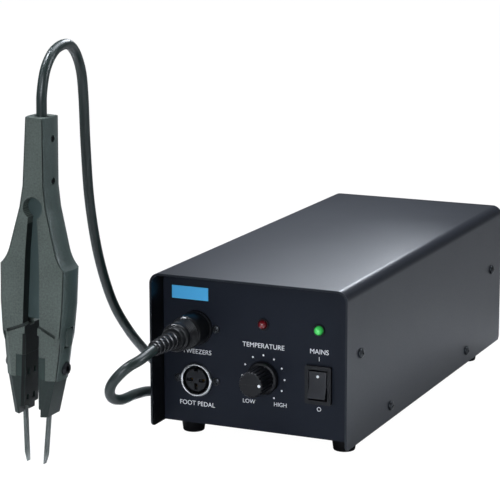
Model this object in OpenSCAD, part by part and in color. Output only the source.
// Soldering tweezers with their cord and control station, in millimetres, +Z up.
// The station's front faces -Y. The origin is under the middle of station and handpiece, on the bench.

/* [Station] */
// Width over the cover
station_w = 115; // [110:1:130]
// Height of the cover, without the feet
cover_h = 86; // [84:1:110]
// Depth of the cover, front edge to rear edge
station_d = 260; // [240:1:320]
// Thickness of the cover's sheet
sheet = 1.2; // [1:0.1:2]
// Outer radius of the cover's two bends
bend_r = 6; // [4:0.5:9]
// Radius of the lower corners of the cover's walls
wall_corner_r = 3; // [1:0.5:4]
// How far the front panel lies behind the cover's front edge
front_recess = 14; // [10:1:16]
// How far the rear panel lies before the cover's rear edge
rear_recess = 14; // [12:1:18]
// Thickness of the front and rear panels
panel_t = 1.5; // [1:0.1:2]
// Thickness of the base plate
base_t = 1.2; // [1:0.1:2]
// Height of the base plate's underside over the cover's lower edge
base_up = 0.6; // [0.2:0.1:1.5]
// Height of the feet's part below the cover
foot_h = 8; // [6:0.5:12]
// Diameter of a foot at the bench
foot_d = 12; // [11:0.5:16]
// Distance of the feet from the station's middle plane
foot_x = 45; // [38:1:46]
// Distance of the feet from the cover's front and rear edges
foot_y = 28; // [26:1:36]
// Diameter of the cover screws' shanks
screw_d = 3; // [2.5:0.1:3.5]
// Height of the cover screws' heads
screw_head_h = 1.6; // [1:0.1:2.5]

/* [Front panel] */
// Sockets: distance from the middle plane, to the left
socket_x = 36; // [34:0.5:39]
// Foot switch socket: height over the cover's lower edge
foot_socket_z = 25.3; // [22:0.1:26]
// Tool socket: height over the cover's lower edge
tool_socket_z = 54.7; // [53:0.1:58]
// Outer diameter of the sockets' rings
ring_d = 18.6; // [17.5:0.1:20]
// Wall of the sockets' rings
ring_wall = 1.4; // [1:0.1:1.6]
// Diameter of the sockets' inserts
insert_d = 12.5; // [12:0.1:12.8]
// How far the rings stand out of the panel
ring_out = 2; // [1:0.1:3]
// Distance between a socket's two screws
socket_pitch = 23; // [23:0.1:25]
// Dial: distance from the middle plane, to the right
dial_x = 3.6; // [0:0.1:6]
// Dial: height over the cover's lower edge
dial_z = 30.8; // [28:0.1:34]
// Diameter of the knob's skirt
knob_skirt_d = 18.5; // [17.5:0.5:21]
// Diameter of the knob's fluted grip
knob_d = 14.5; // [14:0.1:16]
// How far the knob stands out of the panel
knob_out = 17; // [14:0.5:20]
// Number of flutes on the knob
flutes = 20; // [12:1:24]
// Rocker switch and green lamp: distance from the middle plane, to the right
rocker_x = 36; // [33:0.5:39]
// Rocker switch: height over the cover's lower edge
rocker_z = 30.5; // [27:0.1:34]
// Width of the rocker switch's frame
rocker_w = 15; // [14:0.1:17]
// Height of the rocker switch's frame
rocker_h = 21; // [20:0.1:23]
// Angle that the rocker turns between on and off
rocker_turn = 18; // [12:1:20]
// Lamps: height over the cover's lower edge
lamp_z = 60.3; // [56:0.1:64]
// Diameter of the lamps
lamp_d = 5; // [4:0.1:6]

/* [Plug and cord] */
// Diameter of the plug's shell
plug_d = 18; // [17:0.1:18.5]
// Length of the plug's shell and grip
plug_l = 28; // [26:0.5:32]
// Length of the plug's boot
boot_l = 22; // [20:0.5:26]
// Diameter of the cord
cord_d = 5.5; // [5:0.1:6]

/* [Handpiece] */
// Place of the handpiece beside the station: from the station's middle plane
hand_dx = -94.5; // [-110:0.5:-90]
// Place of the handpiece: from the cover's front edge
hand_dy = -60; // [-80:1:-50]
// Lean of the handpiece to the right, as it stands on its tips
hand_lean = 2.4; // [0:0.1:4]
// Height of the handpiece
hand_h = 185; // [180:1:200]
// Depth of the handpiece, front face to rear face
hand_depth = 16; // [15:0.5:18]
// Half width at the top
top_half = 4.4; // [4.2:0.1:5]
// Half width at the neck
neck_half = 5.5; // [5.3:0.1:6]
// Half width at the shoulder
shoulder_half = 18.1; // [17:0.1:20]
// Half width at the lower end of the arms
wrist_half = 13.9; // [13:0.1:14.5]
// Half width at the noses' lower end
nose_half = 9.75; // [9.5:0.05:10.5]
// Height of the flexing webs
flex_z = 138.4; // [136:0.1:142]
// Diameter of the keyhole's round end
hole_d = 11.5; // [11:0.1:11.8]
// Thickness of the webs beside the round hole
web_t = 1.4; // [1.3:0.05:1.8]
// Thickness of the guide blade
blade_t = 4.6; // [4:0.1:5]
// Half width of the guide blade
blade_half = 6; // [5.6:0.1:6.2]
// How far the side covers bulge at mid depth
cover_bulge = 2; // [1.4:0.1:2.6]
// Angle that each arm turns when it is squeezed
squeeze = 1.9; // [1:0.1:1.9]
// Length of the tips below the noses
tip_l = 28; // [26:0.5:29]
// Width of a tip
tip_w = 1.5; // [1.2:0.1:2]
// Depth of a tip
tip_depth = 3; // [2:0.1:3.4]
// Travel of the push button
button_travel = 0.5; // [0.4:0.1:0.9]

/* [Hidden] */

$fn = 48;
eps = 0.01;
// Gap where one sheet or moulding slips into another
slip = 0.3;
// Radial gap of a pin that turns in its hole, and gap of a thread
run_gap = 0.05;

module station() { translate([station_x, station_y, 0]) children(); }
// In the handpiece: x to its right, y to its rear, z up from the tips
module hand() {
    station() translate([hand_dx, hand_dy, hand_lift]) rotate([0, hand_lean, 0]) children();
}
// On the front panel: x to the right, y up from the cover's lower edge, z out of the panel
module on_front(x, z) { station() translate([x, front_recess, foot_h + z]) rotate([90, 0, 0]) children(); }
// On the rear panel, seen from behind
module on_rear(x, z) {
    station() translate([x, station_d - rear_recess, foot_h + z]) rotate([90, 0, 180]) children();
}
// Both sides of the station, children on the right one
module both_sides() {
    children();
    mirror([1, 0, 0]) children();
}
// A profile drawn in X and Z, given its thickness about Y = 0
module slab(depth) { rotate([90, 0, 0]) linear_extrude(depth, center = true) children(); }
// A profile drawn in X and Z, drawn out along +Y
module along_y(length) { translate([0, length, 0]) rotate([90, 0, 0]) linear_extrude(length) children(); }
module rounded(w, h, r) {
    square([w - 2 * r, h], center = true);
    square([w, h - 2 * r], center = true);
    for (x = [-1, 1], y = [-1, 1]) translate([x * (w / 2 - r), y * (h / 2 - r)]) circle(r);
}
module ring(outer_d, inner_d, h) {
    difference() {
        cylinder(d = outer_d, h = h);
        translate([0, 0, -eps]) cylinder(d = inner_d, h = h + 2 * eps);
    }
}
// A pan head screw: the head stands on z = 0, the shank goes down; its rim and top are shares of the head
head_rim = 0.6;
head_top = 0.7;
module screw(d, length, head_d, head_h) {
    translate([0, 0, -length]) cylinder(d = d, h = length + eps);
    rim_h = head_h * head_rim;
    cylinder(d = head_d, h = rim_h);
    translate([0, 0, rim_h - eps]) cylinder(d1 = head_d, d2 = head_d * head_top, h = head_h - rim_h + eps);
}

// Cover: one sheet with two bends, open below and at both ends
inner_w = station_w - 2 * sheet;
cover_top = foot_h + cover_h;
screw_end = 19;
screw_mid = 65;
upper_screw_z = 49;
lower_screw_z = 8;
screw_hole = screw_d + slip;
screw_head_d = 5.5;
screw_l = 7;
cover_screw_places = [
    [screw_end, upper_screw_z], [screw_mid, lower_screw_z],
    [station_d - screw_mid, lower_screw_z], [station_d - screw_end, upper_screw_z]
];
module arch(w, top, r) {
    translate([-w / 2, 0]) square([w, top - r]);
    translate([-w / 2 + r, 0]) square([w - 2 * r, top]);
    for (x = [-1, 1]) translate([x * (w / 2 - r), top - r]) circle(r);
}
module at_cover_screws() {
    for (p = cover_screw_places) {
        both_sides() translate([station_w / 2, p[0], foot_h + p[1]]) rotate([0, 90, 0]) children();
    }
}
module wall_outline() {
    r = wall_corner_r;
    translate([0, foot_h + r]) square([station_d, cover_h - r]);
    translate([r, foot_h]) square([station_d - 2 * r, cover_h]);
    for (y = [r, station_d - r]) translate([y, foot_h + r]) circle(r);
}
module cover() {
    color("#4a4e56") station() difference() {
        intersection() {
            along_y(station_d) difference() {
                arch(station_w, cover_top, bend_r);
                arch(inner_w, cover_top - sheet, bend_r - sheet);
            }
            rotate([90, 0, 90]) linear_extrude(station_w + 2, center = true) wall_outline();
        }
        at_cover_screws() translate([0, 0, -sheet - 1]) cylinder(d = screw_hole, h = sheet + 2);
    }
}
module cover_screws() {
    color("#303236") station() at_cover_screws() screw(screw_d, screw_l, screw_head_d, screw_head_h);
}

// Base plate with its two turned-up sides
base_z = foot_h + base_up;
base_top = base_z + base_t;
tray_w = inner_w - 2 * slip;
flange_l = 12;
front_y = front_recess + panel_t;
rear_y = station_d - rear_recess - panel_t;
base_flange_h = 16;
base_flange_y = screw_mid - 2 * flange_l;
foot_screw_d = 3;
panel_screw_x = 30;
flange_screw_y = flange_l / 2 + sheet;
bracket_y = station_d - 88;
board_y = front_recess + 76;
module at_feet() {
    for (x = [-foot_x, foot_x], y = [foot_y, station_d - foot_y]) translate([x, y, 0]) children();
}
// Screws that hold the two panels, the transformer and the board to the base plate, heads up
module at_panel_screws() {
    for (x = [-panel_screw_x, panel_screw_x], y = [front_y + flange_screw_y, rear_y - flange_screw_y]) {
        translate([x, y, base_top + panel_t]) children();
    }
}
module base_plate() {
    color("#8d9196") station() difference() {
        union() {
            translate([-tray_w / 2, front_y, base_z]) cube([tray_w, rear_y - front_y, base_t]);
            both_sides() translate([tray_w / 2 - base_t, base_flange_y, base_z]) {
                cube([base_t, station_d - 2 * base_flange_y, base_flange_h]);
            }
        }
        at_cover_screws() translate([0, 0, -screw_l - 1]) {
            cylinder(d = screw_d + 2 * run_gap, h = screw_l + 1);
        }
        at_feet() cylinder(d = foot_screw_d + 2 * run_gap, h = base_top + 1);
        at_base_screws() translate([0, 0, -base_screw_l - 1]) {
            cylinder(d = base_screw_d + 2 * run_gap, h = base_screw_l + 1);
        }
    }
}
base_screw_d = 3;
base_screw_l = 6;
module at_base_screws() {
    at_panel_screws() children();
    at_bracket_screws() children();
}
module base_screws() {
    color("silver") station() {
        at_base_screws() screw(base_screw_d, base_screw_l, screw_head_d, screw_head_h);
        at_board_holes() translate([0, 0, board_t]) {
            screw(board_screw_d, board_screw_l, board_head_d, screw_head_h);
        }
    }
}

// Panels: flat plates with flanges turned into the station
panel_h = cover_h - base_up - sheet - slip;
panel_foot_w = 2 * foot_x - 10;
side_flange_h = 26;
side_flange_below = 16;
module panel_blank() {
    r = bend_r - sheet;
    along_y(panel_t) translate([0, base_z]) arch(tray_w, panel_h, r);
    both_sides() translate([tray_w / 2 - panel_t, 0, foot_h + upper_screw_z - side_flange_below]) {
        cube([panel_t, flange_l, side_flange_h]);
    }
    translate([-panel_foot_w / 2, 0, base_top]) cube([panel_foot_w, flange_l, panel_t]);
}
module panel_holes() {
    at_cover_screws() translate([0, 0, -screw_l - 1]) cylinder(d = screw_d + 2 * run_gap, h = screw_l + 1);
    at_panel_screws() translate([0, 0, -panel_t - 1]) {
        cylinder(d = base_screw_d + 2 * run_gap, h = panel_t + 2);
    }
}
module front_panel() {
    color("#1e2129") difference() {
        station() difference() {
            translate([0, front_recess, 0]) panel_blank();
            panel_holes();
        }
        at_sockets() {
            through_panel(ring_d + slip);
            at_socket_screws() through_panel(socket_screw_d + 2 * run_gap);
        }
        on_front(dial_x, dial_z) through_panel(bush_d + slip);
        at_lamps() through_panel(lamp_d + slip);
        on_front(rocker_x, rocker_z) translate([0, 0, -panel_t - 1]) linear_extrude(panel_t + 2) {
            square([rocker_body_w + slip, rocker_body_h + slip], center = true);
        }
    }
}
module through_panel(d) { translate([0, 0, -panel_t - 1]) cylinder(d = d, h = panel_t + 2); }
fuse_x = -28;
gland_x = 28;
rear_z = 28;
fuse_body_d = 12.5;
gland_thread_d = 12;
module rear_panel() {
    color("#26292f") difference() {
        station() difference() {
            translate([0, station_d - rear_recess, 0]) mirror([0, 1, 0]) panel_blank();
            panel_holes();
        }
        on_rear(fuse_x, rear_z) through_panel(fuse_body_d + slip);
        on_rear(gland_x, rear_z) through_panel(gland_thread_d + slip);
    }
}

// Feet: rubber cones with a sunk screw each
foot_taper = 2;
foot_bore_d = 7;
foot_bore_h = 4.5;
module feet() {
    color("#151518") station() at_feet() difference() {
        cylinder(d1 = foot_d, d2 = foot_d + foot_taper, h = base_z);
        translate([0, 0, -eps]) cylinder(d = foot_bore_d, h = foot_bore_h + 2 * eps);
        cylinder(d = foot_screw_d + 2 * run_gap, h = base_z + 1);
    }
}
nut_w = 5.5;
nut_h = 2.4;
foot_head_h = 2;
module foot_fasteners() {
    color("silver") station() at_feet() {
        translate([0, 0, foot_bore_h]) rotate([180, 0, 0]) {
            screw(foot_screw_d, base_top - foot_bore_h + nut_h, nut_w, foot_head_h);
        }
        translate([0, 0, base_top]) difference() {
            cylinder(d = nut_w / cos(30), h = nut_h, $fn = 6);
            translate([0, 0, -1]) cylinder(d = foot_screw_d + 2 * run_gap, h = nut_h + 2);
        }
    }
}

// Sockets: a metal ring with a flange behind the panel, and a moulded insert with three contacts
ring_in = ring_d - 2 * ring_wall;
socket_depth = 12;
socket_flange_t = 1.5;
socket_screw_d = 2.5;
insert_back = 0.5;
contact_d = 2.2;
contact_pin_d = 1.5;
contact_r = 3.6;
key_w = 2.2;
key_deep = 1.4;
insert_base = 2;
ear_d = 7;
flange_over = 2;
socket_screw_l = 5;
socket_head_d = 4.4;
socket_head_h = 1.2;
contact_tail = 4;
contact_back = 2.5;
lead_in = [3.8, 1.8, 2];
module at_sockets() {
    for (z = [tool_socket_z, foot_socket_z]) on_front(-socket_x, z) children();
}
module at_socket_screws() {
    for (x = [-1, 1]) translate([x * socket_pitch / 2, 0, 0]) children();
}
module at_contacts() {
    for (a = [180, 270, 360]) rotate(a) translate([contact_r, 0, 0]) children();
}
module socket_shell() {
    translate([0, 0, -socket_depth]) ring(ring_d, ring_in, socket_depth + ring_out);
    translate([0, 0, -panel_t - socket_flange_t]) difference() {
        linear_extrude(socket_flange_t) {
            circle(d = ring_d + flange_over);
            square([socket_pitch, ear_d], center = true);
            at_socket_screws() circle(d = ear_d);
        }
        translate([0, 0, -1]) cylinder(d = ring_in, h = socket_flange_t + 2);
        at_socket_screws() translate([0, 0, -1]) {
            cylinder(d = socket_screw_d + 2 * run_gap, h = socket_flange_t + 2);
        }
    }
}
module socket_insert() {
    top = ring_out - insert_back;
    difference() {
        union() {
            translate([0, 0, -socket_depth]) cylinder(d = insert_d, h = socket_depth + top);
            translate([0, 0, -socket_depth]) cylinder(d = ring_in - 2 * run_gap, h = insert_base);
        }
        at_contacts() translate([0, 0, -socket_depth - 1]) {
            cylinder(d = contact_d, h = socket_depth + top + 2);
        }
        at_contacts() translate([-lead_in[0] / 2, -lead_in[1] / 2, top - lead_in[2]]) {
            cube([lead_in[0], lead_in[1], lead_in[2] + 1]);
        }
        translate([-key_w / 2, insert_d / 2 - key_deep, -socket_depth + insert_base + 1]) {
            cube([key_w, 2 * key_deep, socket_depth + top]);
        }
    }
}
module tool_socket_shell() { color("#c4c7ca") on_front(-socket_x, tool_socket_z) socket_shell(); }
module foot_socket_shell() { color("#c4c7ca") on_front(-socket_x, foot_socket_z) socket_shell(); }
module tool_socket_insert() { color("#17181b") on_front(-socket_x, tool_socket_z) socket_insert(); }
module foot_socket_insert() { color("#17181b") on_front(-socket_x, foot_socket_z) socket_insert(); }
module socket_contacts() {
    color("#b49a52") at_sockets() at_contacts() {
        translate([0, 0, -socket_depth - contact_tail]) {
            ring(
                contact_d - 2 * run_gap, contact_pin_d + 2 * run_gap,
                socket_depth + contact_tail - contact_back
            );
        }
    }
}
module socket_screws() {
    color("#26282c") at_sockets() at_socket_screws() {
        screw(socket_screw_d, socket_screw_l, socket_head_d, socket_head_h);
    }
}

// Lamps: domed lenses in holders that clip behind the panel
lamp_flange_d = lamp_d + 1;
lamp_body_h = 6;
lamp_out = 1;
lamp_flange_t = 1;
holder_d = lamp_d + 3.5;
module at_lamps() {
    on_front(dial_x, lamp_z) children();
    on_front(rocker_x, lamp_z) children();
}
module lamp() {
    translate([0, 0, -lamp_body_h]) cylinder(d = lamp_d, h = lamp_body_h + lamp_out);
    translate([0, 0, lamp_out]) intersection() {
        sphere(d = lamp_d);
        cylinder(d = lamp_d, h = lamp_d);
    }
    translate([0, 0, -lamp_body_h]) cylinder(d = lamp_flange_d, h = lamp_flange_t);
}
module heat_lamp() { color("#8a1016") on_front(dial_x, lamp_z) lamp(); }
module power_lamp() { color("#30c850") on_front(rocker_x, lamp_z) lamp(); }
module lamp_holders() {
    color("#151518") at_lamps() translate([0, 0, -lamp_body_h + lamp_flange_t]) {
        ring(holder_d, lamp_d + 2 * run_gap, lamp_body_h - lamp_flange_t - panel_t);
    }
}

// Dial: a knob on the shaft of a potentiometer
shaft_d = 6;
bush_d = 7;
bush_out = 5;
pot_d = 17;
pot_h = 10;
pot_nut_w = 10;
pot_nut_h = 2;
washer_t = 0.5;
washer_over = 1.4;
pot_floor = 2;
pot_lug_w = 1.5;
pot_lug_t = 0.8;
pot_lug_l = 8;
pot_lug_pitch = 5;
pot_lug_up = 3;
knob_gap = 0.6;
knob_skirt_h = 3;
knob_socket_z = bush_out + 1;
shaft_top = knob_out - 3;
knob_hollow_d = pot_nut_w / cos(30) + 1.2;
dot_r = 5.2;
dot_d = 1.7;
dot_t = 0.3;
module potentiometer() {
    color("#6d7176") on_front(dial_x, dial_z) difference() {
        union() {
            translate([0, 0, -panel_t - pot_h]) cylinder(d = pot_d, h = pot_h);
            translate([0, 0, -panel_t - eps]) cylinder(d = bush_d, h = panel_t + bush_out);
            for (i = [-1:1]) {
                x = i * pot_lug_pitch - pot_lug_w / 2;
                translate([x, -pot_d / 2 - pot_lug_pitch, -panel_t - pot_h + pot_lug_up]) {
                    cube([pot_lug_w, pot_lug_l, pot_lug_t]);
                }
            }
        }
        translate([0, 0, -panel_t - pot_h + pot_floor]) {
            cylinder(d = shaft_d + 2 * run_gap, h = pot_h + panel_t + bush_out);
        }
    }
}
module potentiometer_nut() {
    color("silver") on_front(dial_x, dial_z) {
        ring(pot_nut_w + washer_over, bush_d + 2 * run_gap, washer_t);
        translate([0, 0, washer_t]) difference() {
            cylinder(d = pot_nut_w / cos(30), h = pot_nut_h, $fn = 6);
            translate([0, 0, -1]) cylinder(d = bush_d + 2 * run_gap, h = pot_nut_h + 2);
        }
    }
}
module dial_shaft() {
    color("silver") on_front(dial_x, dial_z) translate([0, 0, -panel_t - pot_h + pot_floor + run_gap]) {
        cylinder(d = shaft_d, h = pot_h + panel_t - pot_floor - run_gap + shaft_top);
    }
}
knob_edge = 0.8;
flute_r = 0.8;
flute_cut = 0.45;
flute_start = knob_gap + knob_skirt_h + 0.4;
module dial_knob() {
    color("#1b1c1f") on_front(dial_x, dial_z) difference() {
        rotate_extrude() polygon([
            [0, knob_gap], [knob_skirt_d / 2, knob_gap],
            [knob_skirt_d / 2 - knob_edge, knob_gap + knob_skirt_h],
            [knob_d / 2, knob_gap + knob_skirt_h], [knob_d / 2, knob_out - knob_edge],
            [knob_d / 2 - knob_edge, knob_out], [0, knob_out]
        ]);
        for (i = [0:flutes - 1]) rotate(360 / flutes * (i + 0.5)) {
            translate([knob_d / 2 + flute_r - flute_cut, 0, flute_start]) cylinder(r = flute_r, h = knob_out);
        }
        cylinder(d = knob_hollow_d, h = knob_socket_z);
        cylinder(d = shaft_d + 2 * run_gap, h = shaft_top + run_gap);
        translate([dot_r, 0, knob_out - dot_t]) cylinder(d = dot_d + 2 * run_gap, h = 1);
    }
}
module knob_dot() {
    color("white") on_front(dial_x, dial_z) translate([dot_r, 0, knob_out - dot_t]) {
        cylinder(d = dot_d, h = dot_t);
    }
}

// Rocker switch: a hollow body behind a frame, and a paddle on two trunnions
rocker_body_w = rocker_w - 1.8;
rocker_body_h = rocker_h - 1.8;
rocker_frame_t = 2;
rocker_wall = 1.2;
rocker_depth = 14;
frame_corner = 1;
tab_w = 4.8;
tab_t = 0.8;
tab_l = 8;
tab_pitch = 6;
trunnion_wall = 0.6;
paddle_w = rocker_body_w - 2 * rocker_wall - slip;
pivot_z = 0.6;
trunnion_d = 2;
paddle_mid = 1.6;
paddle_end = 2.6;
paddle_back = -3;
paddle_shelf = 2;
paddle_root = 2;
paddle_taper = 1;
paddle_play = 0.7;
paddle_half = rocker_body_h / 2 - rocker_wall - paddle_play;
module rocker_frame() {
    color("#17181b") on_front(rocker_x, rocker_z) difference() {
        union() {
            linear_extrude(rocker_frame_t) rounded(rocker_w, rocker_h, frame_corner);
            translate([0, 0, -rocker_depth]) linear_extrude(rocker_depth + eps) {
                square([rocker_body_w, rocker_body_h], center = true);
            }
            for (i = [-1:1]) translate([-tab_w / 2, i * tab_pitch - tab_t / 2, -rocker_depth - tab_l]) {
                cube([tab_w, tab_t, tab_l + 1]);
            }
        }
        translate([0, 0, -rocker_depth + rocker_wall]) linear_extrude(rocker_depth + rocker_frame_t) {
            square([rocker_body_w - 2 * rocker_wall, rocker_body_h - 2 * rocker_wall], center = true);
        }
        translate([-rocker_w / 2 + trunnion_wall, 0, pivot_z]) rotate([0, 90, 0]) {
            cylinder(d = trunnion_d + 2 * run_gap, h = rocker_w - 2 * trunnion_wall);
        }
    }
}
module rocker_paddle() {
    trunnion_l = paddle_w + 2 * rocker_wall;
    lean = [-rocker_turn / 2, 0, 0];
    color("#222327") on_front(rocker_x, rocker_z) translate([0, 0, pivot_z]) rotate(lean) {
        rotate([90, 0, 90]) linear_extrude(paddle_w, center = true) polygon([
            [-paddle_half, paddle_end], [0, paddle_mid], [paddle_half, paddle_end],
            [paddle_half - paddle_taper, paddle_mid - paddle_shelf], [paddle_root, paddle_back],
            [-paddle_root, paddle_back], [paddle_taper - paddle_half, paddle_mid - paddle_shelf]
        ]);
        rotate([0, 90, 0]) cylinder(d = trunnion_d, h = trunnion_l, center = true);
    }
}

// Transformer: laminated core, winding on its middle leg, and a strap with two feet
core_w = 66;
core_h = 55;
core_stack = 34;
leg = 11;
coil_gap = 0.5;
coil_over = 11;
bracket_t = 1.5;
bracket_foot = 14;
core_mid_z = base_top + core_h / 2;
module at_bracket_screws() {
    foot_x = core_w / 2 + bracket_t + bracket_foot / 2;
    both_sides() translate([foot_x, bracket_y, base_top + bracket_t]) children();
}
module at_core() { station() translate([0, bracket_y, core_mid_z]) children(); }
module transformer_core() {
    color("#5b5f63") at_core() slab(core_stack) difference() {
        square([core_w, core_h], center = true);
        for (x = [-1, 1]) translate([x * leg * 1.5, 0]) square([leg, core_h - 2 * leg], center = true);
    }
}
module transformer_coil() {
    color("#a8762e") at_core() slab(core_stack + 2 * coil_over) difference() {
        square([4 * leg - 2 * coil_gap, core_h - 2 * leg - 2 * coil_gap], center = true);
        square([2 * leg + 2 * coil_gap, core_h], center = true);
    }
    color("#a8762e") at_core() both_ends() {
        translate([-leg - coil_gap - eps, core_stack / 2 + coil_gap, -core_h / 2 + leg + coil_gap]) {
            cube([2 * (leg + coil_gap + eps), coil_over - coil_gap, core_h - 2 * leg - 2 * coil_gap]);
        }
    }
}
module both_ends() {
    children();
    mirror([0, 1, 0]) children();
}
module transformer_bracket() {
    color("silver") station() translate([0, bracket_y, base_top]) difference() {
        slab(core_stack / 2) {
            both_sides() translate([core_w / 2, 0]) square([bracket_t, core_h + bracket_t]);
            translate([-core_w / 2 - eps, core_h]) square([core_w + 2 * eps, bracket_t]);
            both_sides() translate([core_w / 2, 0]) square([bracket_t + bracket_foot, bracket_t]);
        }
        both_sides() translate([core_w / 2 + bracket_t + bracket_foot / 2, 0, -1]) {
            cylinder(d = base_screw_d + 2 * run_gap, h = bracket_t + 2);
        }
    }
}

// Circuit board on four standoffs, with its parts
board_w = 88;
board_d = 62;
board_t = 1.6;
board_inset = 4;
standoff_h = 8;
standoff_w = 6;
board_z = base_top + standoff_h;
board_screw_d = 2.5;
board_screw_l = 6;
board_head_d = 5;
module at_board_holes() {
    for (x = [-1, 1], y = [-1, 1]) {
        translate([x * (board_w / 2 - board_inset), board_y + y * (board_d / 2 - board_inset), board_z]) {
            children();
        }
    }
}
module on_board(x, y) { station() translate([x, board_y + y, board_z + board_t]) children(); }
module circuit_board() {
    color("#2f6b42") station() difference() {
        translate([-board_w / 2, board_y - board_d / 2, board_z]) cube([board_w, board_d, board_t]);
        at_board_holes() translate([0, 0, -1]) cylinder(d = board_screw_d + slip, h = board_t + 2);
    }
}
module board_standoffs() {
    color("#c9b46a") station() at_board_holes() translate([0, 0, -standoff_h]) difference() {
        cylinder(d = standoff_w / cos(30), h = standoff_h, $fn = 6);
        translate([0, 0, 1]) cylinder(d = board_screw_d + 2 * run_gap, h = standoff_h);
    }
}
big_cap = [13, 22];
small_cap = [10, 17];
relay = [19, 15, 15];
terminal_block = [18, 8, 10];
power_chip = [12, 12, 3];
chip_corner = 1;
cap_x = -0.34 * board_w;
relay_at = [-0.14 * board_w, -0.31 * board_d];
block_at = [0.23 * board_w, -0.32 * board_d];
chip_at = [0.07 * board_w, 0.13 * board_d];
module board_parts() {
    color("#24262a") {
        on_board(cap_x, -0.19 * board_d) cylinder(d = big_cap[0], h = big_cap[1]);
        on_board(cap_x, 0.1 * board_d) cylinder(d = small_cap[0], h = small_cap[1]);
        on_board(relay_at[0], relay_at[1]) cube(relay);
        on_board(block_at[0], block_at[1]) cube(terminal_block);
        on_board(chip_at[0], chip_at[1]) rotate([90, 0, 0]) translate([0, power_chip[1] / 2, 0]) {
            linear_extrude(power_chip[2], center = true) rounded(power_chip[0], power_chip[1], chip_corner);
        }
    }
}
fins = 7;
sink_w = 36;
sink_h = 28;
sink_plate = 2;
fin_t = 1.4;
fin_l = 10;
sink_x = -0.11 * board_w;
sink_y = chip_at[1] + power_chip[2] / 2 + 0.5;
module heat_sink() {
    color("#9a9da1") on_board(sink_x, sink_y) {
        cube([sink_w, sink_plate, sink_h]);
        for (i = [0:fins - 1]) translate([i * (sink_w - fin_t) / (fins - 1), sink_plate - eps, 0]) {
            cube([fin_t, fin_l, sink_h]);
        }
    }
}

// Rear panel fittings
fuse_l = 28;
fuse_cap_d = 12;
gland_bore_d = 7.2;
gland_flange_d = 17;
gland_neck_d = 11;
gland_out = 11;
gland_in = 8;
fitting_flange_t = 2.5;
fuse_flange_d = fuse_body_d + 4;
fuse_cap_l = 8;
fuse_slot_w = 1.4;
fuse_slot_deep = 1.5;
gland_cone_d = gland_flange_d - 3;
module fuse_holder() {
    fuse_top = fitting_flange_t + fuse_cap_l;
    color("#17181b") on_rear(fuse_x, rear_z) {
        translate([0, 0, -fuse_l]) cylinder(d = fuse_body_d, h = fuse_l + eps);
        cylinder(d = fuse_flange_d, h = fitting_flange_t);
        difference() {
            translate([0, 0, fitting_flange_t - eps]) cylinder(d = fuse_cap_d, h = fuse_cap_l);
            translate([-fuse_cap_d / 2, -fuse_slot_w / 2, fuse_top - fuse_slot_deep]) {
                cube([fuse_cap_d, fuse_slot_w, 2 * fuse_slot_deep]);
            }
        }
    }
}
module mains_gland() {
    color("#17181b") on_rear(gland_x, rear_z) difference() {
        union() {
            translate([0, 0, -panel_t - gland_in]) cylinder(d = gland_thread_d, h = gland_in + panel_t + eps);
            cylinder(d = gland_flange_d, h = fitting_flange_t);
            translate([0, 0, fitting_flange_t - eps]) {
                cylinder(d1 = gland_cone_d, d2 = gland_neck_d, h = gland_out - fitting_flange_t);
            }
        }
        translate([0, 0, -panel_t - gland_in - 1]) {
            cylinder(d = gland_bore_d, h = gland_in + panel_t + gland_out + 2);
        }
    }
}

// Plug: sleeve and pins in the tool socket, a moulded grip and a ribbed boot
sleeve_d = ring_in - 2 * slip;
sleeve_in = insert_d + 2 * slip;
sleeve_reach = 8;
plug_z = ring_out + 0.2;
grip_shell_l = plug_l * 0.45;
grip_wide_d = plug_d - 1;
grip_end_d = 15;
grip_ribs = 6;
collar_d = 13;
collar_l = 3.4;
boot_ribs = 5;
boot_d = 10;
boot_end_d = 8.2;
cord_hole_d = cord_d + 0.2;
cord_grip = 6;
module on_plug() { on_front(-socket_x, tool_socket_z) translate([0, 0, plug_z]) children(); }
module plug_sleeve() {
    color("#c4c7ca") on_plug() {
        translate([0, 0, -sleeve_reach]) ring(sleeve_d, sleeve_in, sleeve_reach + eps);
        cylinder(d = sleeve_d, h = 5);
    }
}
module plug_pins() {
    color("#b49a52") on_plug() at_contacts() translate([0, 0, -sleeve_reach + 1]) {
        cylinder(d = contact_pin_d, h = sleeve_reach - 1);
    }
}
module plug_grip() {
    body_l = plug_l - collar_l;
    rib_l = (body_l - grip_shell_l - 3) / grip_ribs;
    color("#1a1b1e") on_plug() difference() {
        union() {
            cylinder(d = plug_d, h = grip_shell_l - 1);
            translate([0, 0, grip_shell_l - 1 - eps]) cylinder(d1 = plug_d, d2 = grip_wide_d, h = 1 + eps);
            for (i = [0:grip_ribs - 1]) {
                d = grip_wide_d + (grip_end_d - grip_wide_d) * i / grip_ribs;
                translate([0, 0, grip_shell_l + i * rib_l - eps]) {
                    cylinder(d = d, h = rib_l * 0.6);
                    cylinder(d = d - 1.2, h = rib_l + 2 * eps);
                }
            }
            translate([0, 0, body_l - 3 - eps]) cylinder(d = grip_end_d + 0.5, h = 3 + eps);
            translate([0, 0, body_l - eps]) cylinder(d = collar_d, h = collar_l + eps);
        }
        translate([0, 0, -eps]) cylinder(d = sleeve_d + 2 * run_gap, h = 5 + eps);
    }
}
module plug_boot() {
    rib_l = boot_l / boot_ribs;
    color("#151518") on_plug() translate([0, 0, plug_l]) difference() {
        union() {
            cylinder(d1 = boot_d - 1.6, d2 = boot_end_d - 1.2, h = boot_l);
            for (i = [0:boot_ribs - 1]) translate([0, 0, i * rib_l]) {
                cylinder(d = boot_d + (boot_end_d - boot_d) * i / (boot_ribs - 1), h = rib_l * 0.55);
            }
        }
        translate([0, 0, boot_l - cord_grip]) cylinder(d = cord_hole_d, h = cord_grip + 1);
    }
}

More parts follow.
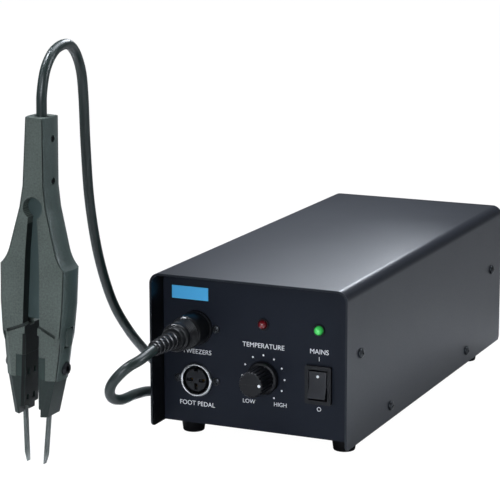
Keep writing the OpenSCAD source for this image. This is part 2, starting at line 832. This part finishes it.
// Handpiece outline: half widths of the outer edge and of the gap between the arms, from the top down
// A height in the handle, as a share of its length above the webs
function handle_at(share) = flex_z + share * (hand_h - flex_z);
neck_z = handle_at(0.24);
flare_z = 117;
shoulder_z = 107.5;
seam_z = 48;
nose_z = tip_l;
flare_half = 12.7;
flare_pull = [14.3, 111];
grip_half = 15.9;
grip_z = 66;
flare_steps = 6;
flex_half = hole_d / 2 + web_t;
tip_x = 5.5;
function bend(a, b, c, t) = (1 - t) * (1 - t) * a + 2 * t * (1 - t) * b + t * t * c;
outer_edge = concat(
    [[top_half, hand_h], [neck_half, neck_z], [flex_half, flex_z]],
    [for (i = [0:flare_steps])
        bend([flare_half, flare_z], flare_pull, [shoulder_half, shoulder_z], i / flare_steps)],
    [[shoulder_half - 0.4, 88], [grip_half, grip_z], [wrist_half, seam_z], [nose_half, nose_z]]
);
inner_edge = [
    [2.5, flex_z], [4, 115], [4.75, 88], [4.9, 77], [3.8, 76], [3.8, 52], [4.45, nose_z]
];
function flipped(edge) = [for (i = [len(edge) - 1:-1:0]) [edge[i][1], edge[i][0]]];
outer_table = flipped(outer_edge);
inner_table = flipped(inner_edge);
function outer_at(z) = lookup(z, outer_table);
function inner_at(z) = lookup(z, inner_table);
// The part of an edge between two heights, with its ends
function stretch(edge, table, low, high) = concat(
    [[lookup(high, table), high]],
    [for (p = edge) if (p[1] < high && p[1] > low) p],
    [[lookup(low, table), low]]
);
function backwards(list) = [for (i = [len(list) - 1:-1:0]) list[i]];

// Place of the station and of the handpiece, so that the two together stand over the origin
hand_lift = tip_x * sin(hand_lean);
hand_reach = max([for (p = outer_edge) (p[0] + cover_bulge) * cos(hand_lean) - p[1] * sin(hand_lean)]);
side_left = hand_dx - hand_reach;
side_right = station_w / 2 + screw_head_h;
station_x = -(side_left + side_right) / 2;
station_y = -(hand_dy - hand_depth / 2 + station_d) / 2;

// Cord: a round tube along points beside the station, from the boot to the handpiece's top
boot_end_y = front_recess - plug_z - plug_l - boot_l;
cord_end_z = handle_at(0.506);
function in_hand(z) = [hand_dx + z * sin(hand_lean), hand_dy, hand_lift + z * cos(hand_lean)];
route = [
    [-socket_x, boot_end_y + cord_grip - 0.5, foot_h + tool_socket_z], [-36, -41, 62], [-37, -50.5, 60],
    [-40.5, -56.5, 57.5], [-44.5, -59.5, 53.5], [-49, -59.5, 48], [-52, -56.5, 42.5], [-53.5, -50.5, 37.5],
    [-53.5, -42, 34.5], [-55.5, -31, 32.5], [-59.5, -14, 29.5], [-62, 9, 25], [-64, 34, 16], [-65, 62, 6],
    [-66, 100, 3], [-66, 145, 3], [-67, 190, 3], [-72, 226, 3], [-88, 246, 3], [-110, 244, 3], [-122, 224, 3],
    [-122, 192, 3], [-115, 156, 3], [-105, 120, 5], [-97, 88, 16], [-95, 66, 31], [-95, 46, 48],
    [-97, 31, 68], [-98, 18, 96], [-98, 9, 128], [-96, 2, 160], [-94, -3, 188], [-92, -9, 203],
    [-90, -19, 214], [-87, -33, 219], [-86, -47, 217], [-86, -56, 209],
    in_hand(hand_h + 12), in_hand(hand_h), in_hand(cord_end_z)
];
cord_steps = 2;
cord_sides = 10;
function spline(a, b, c, d, t) =
    0.5 * (2 * b + (c - a) * t + (2 * a - 5 * b + 4 * c - d) * t * t + (3 * b - a - 3 * c + d) * t * t * t);
function along(p, steps) = [
    for (i = [0:len(p) - 2], s = [0:steps - 1])
        spline(p[max(i - 1, 0)], p[i], p[i + 1], p[min(i + 2, len(p) - 1)], s / steps),
    p[len(p) - 1]
];
function unit(v) = v / norm(v);
function heading(p, i) = unit(p[min(i + 1, len(p) - 1)] - p[max(i - 1, 0)]);
function square_to(v, t) = unit(v - (v * t) * t);
function carried(p, i) =
    i == 0 ? square_to([0, 0, 1], heading(p, 0)) : square_to(carried(p, i - 1), heading(p, i));
function hoop(c, t, n, r, sides) = [
    for (k = [0:sides - 1]) c + r * (cos(360 * k / sides) * n + sin(360 * k / sides) * cross(t, n))
];
function tube_faces(rings, sides) = concat(
    [[for (k = [0:sides - 1]) k]],
    [for (i = [0:rings - 2], k = [0:sides - 1])
        [i * sides + k, (i + 1) * sides + k, (i + 1) * sides + (k + 1) % sides]],
    [for (i = [0:rings - 2], k = [0:sides - 1])
        [i * sides + k, (i + 1) * sides + (k + 1) % sides, i * sides + (k + 1) % sides]],
    [[for (k = [0:sides - 1]) rings * sides - 1 - k]]
);
module cord() {
    line = along(route, cord_steps);
    hoops = [for (i = [0:len(line) - 1])
        each hoop(line[i], heading(line, i), carried(line, i), cord_d / 2, cord_sides)];
    color("#202224") station() polyhedron(hoops, tube_faces(len(line), cord_sides));
}

// Webs: round knuckles stand for the flexing strips between handle and arms
split = 0.1;
knuckle_r = 0.45;
web_x = hole_d / 2 + web_t / 2;
module knuckle(r) {
    translate([web_x, 0, flex_z]) rotate([90, 0, 0]) cylinder(r = r, h = hand_depth, center = true);
}
module right_of_middle() { children(); }
module left_of_middle() { mirror([1, 0, 0]) children(); }

// Handle: two shells that meet in the middle, round the cord and the guide blade
bush_l = 5;
bush_wide = 7.4;
clamp_l = 5;
clamp_d = 7.6;
clamp_z = cord_end_z - 1;
blade_tail_half = 3;
blade_top = handle_at(0.3);
blade_low = 79;
blade_play = 0.15;
handle_screw_z = [handle_at(0.296), handle_at(0.765)];
handle_screw_d = 2;
handle_head_d = 3.4;
head_h = 1.2;
cover_edge = 0.5;
cover_step = 0.5;
module keyhole() {
    translate([0, 0, flex_z]) rotate([90, 0, 0]) cylinder(d = hole_d, h = hand_depth + 2, center = true);
}
module at_handle_screws() {
    for (z = handle_screw_z) translate([outer_at(z), 0, z]) rotate([0, 90, 0]) children();
}
module blade_room() {
    slab(blade_t + 2 * blade_play) {
        translate([-eps, flex_z]) square([blade_tail_half + blade_play, blade_top - flex_z + blade_play]);
        translate([0, flex_z]) circle(d = hole_d + 2 * blade_play + 1);
    }
}
module handle_shell() {
    difference() {
        union() {
            slab(hand_depth) polygon(concat(
                [[0, hand_h]], stretch(outer_edge, outer_table, flex_z + split, hand_h), [[0, flex_z + split]]
            ));
            knuckle(knuckle_r);
        }
        keyhole();
        blade_room();
        translate([0, 0, cord_end_z - 1]) cylinder(d = cord_hole_d, h = hand_h);
        translate([0, 0, clamp_z]) cylinder(d = clamp_d + 2 * run_gap, h = clamp_l + 2 * run_gap);
        translate([0, 0, hand_h - bush_l]) cylinder(d = bush_wide + 2 * run_gap, h = bush_l + 1);
        at_handle_screws() translate([0, 0, -1.9]) cylinder(d = handle_screw_d + 2 * run_gap, h = 3);
    }
}
module handle_right_shell() { color("#565e5c") hand() right_of_middle() handle_shell(); }
module handle_left_shell() { color("#565e5c") hand() left_of_middle() handle_shell(); }

// Side covers: bulged plates on the shells' outer faces, lofted down the edge
arc_points = 8;
chamfer_y = 1.6;
chevron_out_z = 71;
chevron_in_z = 76;
chamfer_run = 5;
function cover_half(z) = hand_depth / 2 - cover_step
    - chamfer_y * min(1, max(0, (chevron_out_z - z) / chamfer_run));
function cover_ring(z) = concat(
    [[outer_at(z), -cover_half(z), z]],
    [for (i = [0:arc_points])
        let (s = 2 * i / arc_points - 1)
        [outer_at(z) + cover_edge + (cover_bulge - cover_edge) * (1 - s * s), s * cover_half(z), z]],
    [[outer_at(z), cover_half(z), z]]
);
module cover_loft(heights) {
    count = arc_points + 3;
    polyhedron([for (z = heights) each cover_ring(z)], tube_faces(len(heights), count));
}
function heights_of(low, high) = [for (p = stretch(outer_edge, outer_table, low, high)) p[1]];
module handle_cover() {
    difference() {
        cover_loft(heights_of(flex_z + split, hand_h));
        at_handle_screws() {
            translate([0, 0, -1]) cylinder(d = handle_screw_d + 0.3, h = 3);
            translate([0, 0, cover_edge]) cylinder(d = handle_head_d + 0.4, h = 3);
        }
    }
}
module handle_right_cover() { color("#45504f") hand() right_of_middle() handle_cover(); }
module handle_left_cover() { color("#45504f") hand() left_of_middle() handle_cover(); }
module handle_screws() {
    color("#26282c") hand() both_sides() at_handle_screws() translate([0, 0, cover_edge]) {
        screw(handle_screw_d, 2.2, handle_head_d, head_h);
    }
}
module guide_blade() {
    color("#2d3233") hand() slab(blade_t) {
        translate([-blade_tail_half, flex_z]) square([2 * blade_tail_half, blade_top - flex_z]);
        translate([0, flex_z]) circle(d = hole_d + 1);
        translate([-blade_half, blade_low + 2]) square([2 * blade_half, flex_z - blade_low - 2]);
        translate([2 - blade_half, blade_low]) square([2 * blade_half - 4, 3]);
        for (x = [-1, 1]) translate([x * (blade_half - 2), blade_low + 2]) circle(2);
    }
}
module cord_clamp() {
    color("silver") hand() translate([0, 0, clamp_z + run_gap]) ring(clamp_d, cord_hole_d, clamp_l);
}
module cord_bush() {
    color("#151518") hand() translate([0, 0, hand_h - bush_l]) ring(bush_wide, cord_hole_d, bush_l);
}

// Arms: shells below the webs, with a groove for the guide blade and a pocket under the side cover
tongue_z = 60;
tongue_w = 4.6;
groove_play = 0.3;
pocket_low = 63;
pocket_high = 100;
pocket_half = 5.2;
pocket_in = 10.4;
chevron_w = 2;
chevron_deep = 1;
outer_chamfer = 2.6;
inner_chamfer = 1.2;
tip_lean = 3.3;
heater_d = 4.2;
heater_low = nose_z + 3;
heater_high = 60;
tip_screw_z = 54;
tip_screw_d = 3;
tip_head_d = 5.4;
tip_head_h = 2;
tip_screw_l = outer_at(tip_screw_z) - tip_x - tip_screw_z * tan(tip_lean) - heater_d / 2 - slip;
function travel_at(z) = (flex_z - z) * tan(squeeze);
// The chamfer on an edge of the front and rear faces, or of one of them, between two heights
module edge_chamfer(x0, z0, x1, z1, wide, faces = [-1, 1]) {
    length = norm([x1 - x0, z1 - z0]);
    for (side = faces) translate([x0, side * hand_depth / 2, z0]) rotate([0, atan2(x1 - x0, z1 - z0), 0]) {
        translate([0, 0, -1]) linear_extrude(length + 2) polygon([
            [-wide, side], [-wide, 0], [0, -side * chamfer_y],
            [sign(wide), -side * chamfer_y], [sign(wide), side]
        ]);
    }
}
module lower_chamfers() {
    chamfer_top = chevron_out_z - 1;
    edge_chamfer(grip_half, grip_z, outer_at(chamfer_top), chamfer_top, outer_chamfer);
    edge_chamfer(wrist_half, seam_z, grip_half, grip_z, outer_chamfer);
    edge_chamfer(nose_half, nose_z, wrist_half, seam_z, outer_chamfer);
    edge_chamfer(inner_at(nose_z), nose_z, inner_at(chevron_out_z), chevron_out_z, -inner_chamfer, [-1]);
}
module chevrons() {
    x0 = inner_at(chevron_in_z) - 1;
    x1 = outer_at(chevron_out_z) - outer_chamfer;
    for (side = [-1, 1]) translate([0, side * hand_depth / 2, 0]) slab(2 * chevron_deep) polygon([
        [x0, chevron_in_z + chevron_w], [x1, chevron_out_z + chevron_w],
        [x1, chevron_out_z], [x0, chevron_in_z]
    ]);
}
module along_tip() { translate([tip_x, 0, 0]) rotate([0, tip_lean, 0]) children(); }
module heater_bore() {
    along_tip() translate([0, 0, nose_z - 2]) {
        cylinder(d = heater_d + 2 * run_gap, h = heater_high - nose_z + 3);
    }
}
module blade_groove() {
    low = blade_low - 4;
    slab(blade_t + 2 * blade_play) polygon([
        [0, flex_z + 2], [blade_half + groove_play, flex_z + 2], [blade_half + groove_play, flex_z],
        [blade_half + groove_play + travel_at(low), low], [0, low]
    ]);
    slab(blade_t + 2 * blade_play) translate([0, flex_z]) circle(d = hole_d + 1 + 2 * groove_play);
}
module nose_parting() {
    polygon([
        [0, 0], [outer_at(seam_z) + 3, 0], [outer_at(seam_z) + 3, seam_z],
        [inner_at(seam_z) + tongue_w, seam_z], [inner_at(seam_z) + tongue_w, tongue_z], [0, tongue_z]
    ]);
}
module tip_screw_axis() { translate([outer_at(tip_screw_z), 0, tip_screw_z]) rotate([0, 90, 0]) children(); }
module arm_blank() {
    slab(hand_depth) polygon(concat(
        stretch(outer_edge, outer_table, nose_z, flex_z - split),
        backwards(stretch(inner_edge, inner_table, nose_z, flex_z - split))
    ));
}
module arm_shell() {
    difference() {
        arm_blank();
        slab(hand_depth + 2) nose_parting();
        keyhole();
        knuckle(knuckle_r + run_gap);
        blade_groove();
        heater_bore();
        chevrons();
        lower_chamfers();
        translate([pocket_in, -pocket_half, pocket_low]) {
            cube([shoulder_half, 2 * pocket_half, pocket_high - pocket_low]);
        }
        tip_screw_axis() translate([0, 0, -tip_screw_l - slip]) {
            cylinder(d = tip_screw_d + 2 * run_gap, h = tip_screw_l + 1);
        }
        tip_screw_axis() translate([0, 0, -eps]) cylinder(d = tip_head_d + 2 * slip, h = tip_head_h);
    }
}
module right_arm_shell() { color("#565e5c") hand() right_of_middle() arm_shell(); }
module left_arm_shell() { color("#565e5c") hand() left_of_middle() arm_shell(); }
module arm_cover() {
    difference() {
        cover_loft(concat(
            heights_of(chevron_out_z, flex_z - split), heights_of(seam_z, chevron_out_z - chamfer_run)
        ));
        tip_screw_axis() translate([0, 0, -1]) cylinder(d = tip_head_d + 1, h = cover_bulge + 2);
        children();
    }
}
module right_arm_cover() { color("#45504f") hand() arm_cover() button_window(); }
module left_arm_cover() { color("#45504f") hand() left_of_middle() arm_cover(); }

// Noses: heat-proof ends with a tongue on the inner side, a step below and four vents inside
step_x = 2;
step_z = nose_z + 4;
vent_z = [nose_z + 8, nose_z + 22];
vent_y = 3.2;
vent_w = 2.6;
vent_h = 3.4;
vent_deep = 1.2;
module nose() {
    difference() {
        intersection() {
            arm_blank();
            slab(hand_depth) nose_parting();
        }
        heater_bore();
        lower_chamfers();
        translate([0, -hand_depth, nose_z - 1]) {
            cube([inner_at(step_z) + step_x, 2 * hand_depth, step_z - nose_z + 1]);
        }
        for (y = [-vent_y, vent_y], z = vent_z) {
            translate([inner_at(z) - 1, y - vent_w / 2, z - vent_h / 2]) {
                cube([1 + vent_deep, vent_w, vent_h]);
            }
        }
    }
}
module right_nose() { color("#3a4442") hand() right_of_middle() nose(); }
module left_nose() { color("#3a4442") hand() left_of_middle() nose(); }

// Heaters in the noses, and the tips that they hold
tip_shank_d = 2.4;
tip_root = 20;
tip_bevel = 5;
tip_point = 0.4;
// The tips end this far over the bench, clear of it by a hair
tip_gap = 0.15;
module heater() {
    along_tip() difference() {
        translate([0, 0, heater_low]) cylinder(d = heater_d, h = heater_high - heater_low);
        translate([0, 0, heater_low - 1]) cylinder(d = tip_shank_d + 2 * run_gap, h = tip_root + 1);
    }
}
module right_heater() { color("#d8d2c4") hand() right_of_middle() heater(); }
module left_heater() { color("#d8d2c4") hand() left_of_middle() heater(); }
module tip() {
    along_tip() {
        slab(tip_depth) polygon([
            [-tip_w / 2, tip_gap], [-tip_w / 2 + tip_point, tip_gap], [tip_w / 2, tip_gap + tip_bevel],
            [tip_w / 2, heater_low - 0.5], [-tip_w / 2, heater_low - 0.5]
        ]);
        translate([0, 0, heater_low - 0.5 - eps]) cylinder(d = tip_shank_d, h = tip_root);
    }
}
module right_tip() { color("#5c615f") hand() right_of_middle() tip(); }
module left_tip() { color("#5c615f") hand() left_of_middle() tip(); }
module tip_screw() {
    tip_screw_axis() screw(tip_screw_d, tip_screw_l, tip_head_d, tip_head_h);
}
module right_tip_screw() { color("#26282c") hand() right_of_middle() tip_screw(); }
module left_tip_screw() { color("#26282c") hand() left_of_middle() tip_screw(); }

// Push button in the right side cover, over its switch
button_z = 71;
button_h = 9.5;
button_w = 5.8;
button_r = 1.2;
button_proud = 0.3;
switch_h = 3;
button_lip = 1;
button_face = outer_at(button_z) + cover_bulge + button_proud;
button_back = pocket_in + switch_h + button_travel + 0.1;
module button_window() {
    translate([pocket_in, 0, button_z]) rotate([90, 0, 90]) linear_extrude(shoulder_half) {
        square([button_w + 2 * slip, button_h + 2 * slip], center = true);
    }
}
module hand_button() {
    color("#17181b") hand() {
        translate([button_back, 0, button_z]) rotate([90, 0, 90]) linear_extrude(button_face - button_back) {
            rounded(button_w, button_h, button_r);
        }
        translate([button_back, -button_w / 2 - button_lip, button_z - button_h / 2 - button_lip]) {
            cube([1, button_w + 2 * button_lip, button_h + 2 * button_lip]);
        }
    }
}
module hand_switch() {
    color("#101113") hand() translate([pocket_in, -3, button_z - 5]) cube([switch_h, 6, 10]);
}

cover();
base_plate();
front_panel();
rear_panel();
base_screws();
cover_screws();
feet();
foot_fasteners();
tool_socket_shell();
tool_socket_insert();
foot_socket_shell();
foot_socket_insert();
socket_contacts();
socket_screws();
heat_lamp();
power_lamp();
lamp_holders();
potentiometer();
potentiometer_nut();
dial_shaft();
dial_knob();
knob_dot();
rocker_frame();
rocker_paddle();
transformer_core();
transformer_coil();
transformer_bracket();
circuit_board();
board_standoffs();
board_parts();
heat_sink();
fuse_holder();
mains_gland();
plug_sleeve();
plug_pins();
plug_grip();
plug_boot();
cord();
handle_left_shell();
handle_right_shell();
handle_left_cover();
handle_right_cover();
handle_screws();
guide_blade();
cord_clamp();
cord_bush();
left_arm_shell();
right_arm_shell();
left_arm_cover();
right_arm_cover();
left_nose();
right_nose();
left_heater();
right_heater();
left_tip();
right_tip();
left_tip_screw();
right_tip_screw();
hand_switch();
hand_button();
